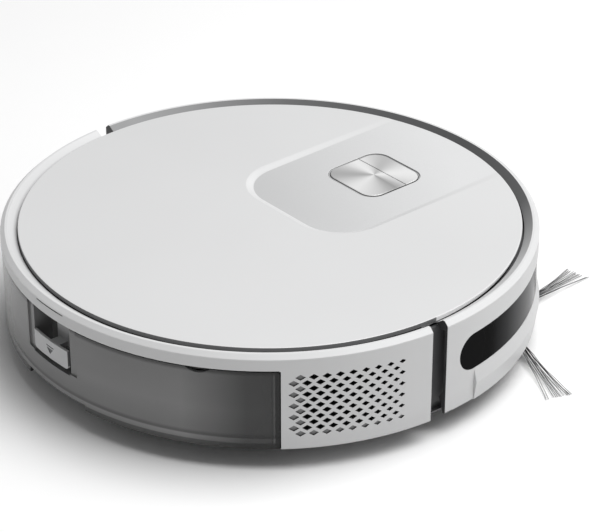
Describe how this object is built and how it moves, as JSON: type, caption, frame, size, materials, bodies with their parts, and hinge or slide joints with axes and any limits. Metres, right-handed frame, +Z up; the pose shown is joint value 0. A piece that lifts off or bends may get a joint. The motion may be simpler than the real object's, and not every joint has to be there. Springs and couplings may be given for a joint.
{
  "type": "robot vacuum",
  "caption": "Low round robot vacuum with a front bumper and sensor window, two top keys, exhaust grilles, a rear dustbin, drive wheels, a main brush and side brushes.",
  "frame": {"origin": "on the floor plane under the centre of the round body, midway between the drive wheels", "axes": "+Z up from the floor, +Y forward to the middle of the bumper, +X to the robot's right, along the wheel axle"},
  "size_m": [0.3574, 0.35, 0.0757],
  "materials": {
    "white_shell": "satin",
    "lid_gloss": "gloss",
    "bezel_grey": "satin",
    "key_metal": "radially brushed",
    "ir_window": "gloss",
    "smoky_clear": "gloss",
    "latch_grey": "satin",
    "dark_body": "fine grained",
    "dark_trim": "fine grained",
    "housing_grey": "matte",
    "board": "solder mask",
    "battery": "shrink wrap",
    "steel": "zinc plated",
    "motor_steel": "nickel plated",
    "gearmotor": "matte",
    "contact": "nickel plated",
    "gear_nylon": "satin",
    "brass": "machined",
    "filter_paper": "pleated",
    "filter_white": "matte",
    "mesh_grey": "woven",
    "foam": "open foam",
    "tyre": "matte",
    "hub": "matte",
    "rubber_blade": "matte",
    "bristle": "fibre",
    "lens": "gloss",
    "impeller": "satin"
  },
  "bodies": {
    "chassis": {"base_chassis": "dark_body", "upper_casing": "white_shell", "lid_panel": "lid_gloss", "control_bezel": "bezel_grey", "key_board": "board", "main_board": "board", "battery_pack": "battery", "battery_cover": "dark_trim", "base_screws": "steel", "fan_housing": "housing_grey", "fan_motor": "motor_steel", "brush_gearbox": "housing_grey", "brush_motor": "motor_steel", "side_motor_left": "gearmotor", "side_motor_right": "gearmotor", "brush_guard": "dark_trim", "roller_bearing": "dark_trim", "caster_socket": "dark_trim", "cliff_lenses": "lens", "charging_contacts": "contact", "wheel_housing_left": "dark_body", "wheel_housing_right": "dark_body", "bumper_switches": "dark_trim", "bumper_spring_left": "steel", "bumper_spring_right": "steel", "sensor_board": "board", "exhaust_screens": "foam", "suspension_spring_left": "steel", "suspension_spring_right": "steel"},
    "bumper": {"bumper_shell": "white_shell", "sensor_window": "ir_window"},
    "start_button": {"start_key": "key_metal"},
    "home_button": {"home_key": "key_metal"},
    "dustbin": {"bin_shell": "smoky_clear", "bin_lid": "smoky_clear", "filter_frame": "filter_white", "filter_pleats": "filter_paper", "filter_mesh": "mesh_grey", "latch_spring": "steel"},
    "latch": {"bin_latch": "latch_grey"},
    "flap": {"inlet_flap": "dark_trim"},
    "arm_left": {"wheel_arm_left": "gearmotor"},
    "arm_right": {"wheel_arm_right": "gearmotor"},
    "wheel_left": {"wheel_hub_left": "hub", "wheel_tyre_left": "tyre"},
    "wheel_right": {"wheel_hub_right": "hub", "wheel_tyre_right": "tyre"},
    "main_brush": {"roller_core": "housing_grey", "roller_bristles": "bristle", "roller_blades": "rubber_blade", "roller_gear": "gear_nylon"},
    "idler": {"idler_gear": "gear_nylon"},
    "pinion": {"motor_pinion": "brass"},
    "side_brush_left": {"side_brush_hub_left": "dark_trim", "side_bristles_left": "bristle"},
    "side_brush_right": {"side_brush_hub_right": "dark_trim", "side_bristles_right": "bristle"},
    "caster": {"caster_fork": "dark_trim"},
    "caster_roll": {"caster_wheel": "housing_grey"},
    "fan": {"impeller": "impeller"}
  },
  "joints": [
    {"name": "bumper_press", "type": "slide", "parent": "chassis", "child": "bumper", "axis": [0, -1, 0], "range_m": [0, 0.003], "stiffness_N_per_m": 400, "springref_m": -0.003, "deforming": ["bumper_spring_left", "bumper_spring_right"]},
    {"name": "start_key_press", "type": "slide", "parent": "chassis", "child": "start_button", "axis": [0, 0, -1], "range_m": [0, 0.0008], "stiffness_N_per_m": 900, "springref_m": -0.0008},
    {"name": "home_key_press", "type": "slide", "parent": "chassis", "child": "home_button", "axis": [0, 0, -1], "range_m": [0, 0.0008], "stiffness_N_per_m": 900, "springref_m": -0.0008},
    {"name": "dustbin_slide", "type": "slide", "parent": "chassis", "child": "dustbin", "axis": [0, -1, 0], "range_m": [0, 0.1]},
    {"name": "latch_press", "type": "slide", "parent": "dustbin", "child": "latch", "axis": [0, 0, -1], "range_m": [0, 0.0022], "stiffness_N_per_m": 900, "springref_m": -0.002, "deforming": ["latch_spring"]},
    {"name": "inlet_flap_swing", "type": "hinge", "parent": "dustbin", "child": "flap", "pos_m": [0, -0.0768, 0.0385], "axis": [1, 0, 0], "range_deg": [-60, 0]},
    {"name": "suspension_left", "type": "hinge", "parent": "chassis", "child": "arm_left", "pos_m": [-0.1018, 0.03, 0.028], "axis": [-1, 0, 0], "range_deg": [-32, 0], "stiffness_Nm_per_rad": 0.22, "springref_deg": -40.11, "deforming": ["suspension_spring_left"]},
    {"name": "suspension_right", "type": "hinge", "parent": "chassis", "child": "arm_right", "pos_m": [0.1018, 0.03, 0.028], "axis": [-1, 0, 0], "range_deg": [-32, 0], "stiffness_Nm_per_rad": 0.22, "springref_deg": -40.11, "deforming": ["suspension_spring_right"]},
    {"name": "wheel_spin_left", "type": "hinge", "parent": "arm_left", "child": "wheel_left", "pos_m": [-0.1165, 0, 0.0325], "axis": [1, 0, 0], "continuous": true},
    {"name": "wheel_spin_right", "type": "hinge", "parent": "arm_right", "child": "wheel_right", "pos_m": [0.1165, 0, 0.0325], "axis": [1, 0, 0], "continuous": true},
    {"name": "main_brush_spin", "type": "hinge", "parent": "chassis", "child": "main_brush", "pos_m": [0, -0.044, 0.0202], "axis": [1, 0, 0], "continuous": true},
    {"name": "idler_spin", "type": "hinge", "parent": "chassis", "child": "idler", "pos_m": [-0.086, -0.02497, 0.02908], "axis": [1, 0, 0], "continuous": true},
    {"name": "pinion_spin", "type": "hinge", "parent": "chassis", "child": "pinion", "pos_m": [-0.086, -0.00842, 0.02616], "axis": [1, 0, 0], "continuous": true},
    {"name": "side_brush_right_spin", "type": "hinge", "parent": "chassis", "child": "side_brush_right", "pos_m": [0.097, 0.1034, 0.007], "axis": [0, 0, 1], "continuous": true},
    {"name": "side_brush_left_spin", "type": "hinge", "parent": "chassis", "child": "side_brush_left", "pos_m": [-0.097, 0.1034, 0.007], "axis": [0, 0, -1], "continuous": true},
    {"name": "caster_swivel", "type": "hinge", "parent": "chassis", "child": "caster", "pos_m": [0, 0.116, 0.024], "axis": [0, 0, 1], "continuous": true},
    {"name": "caster_wheel_spin", "type": "hinge", "parent": "caster", "child": "caster_roll", "pos_m": [0, 0.109, 0.0115], "axis": [1, 0, 0], "continuous": true},
    {"name": "impeller_spin", "type": "hinge", "parent": "chassis", "child": "fan", "pos_m": [0.034, -0.036, 0.055], "axis": [0, 0, 1], "continuous": true}
  ],
  "couplings": [
    {"joint": "idler_spin", "follows": "main_brush_spin", "ratio": -0.66667},
    {"joint": "pinion_spin", "follows": "main_brush_spin", "ratio": 2}
  ]
}
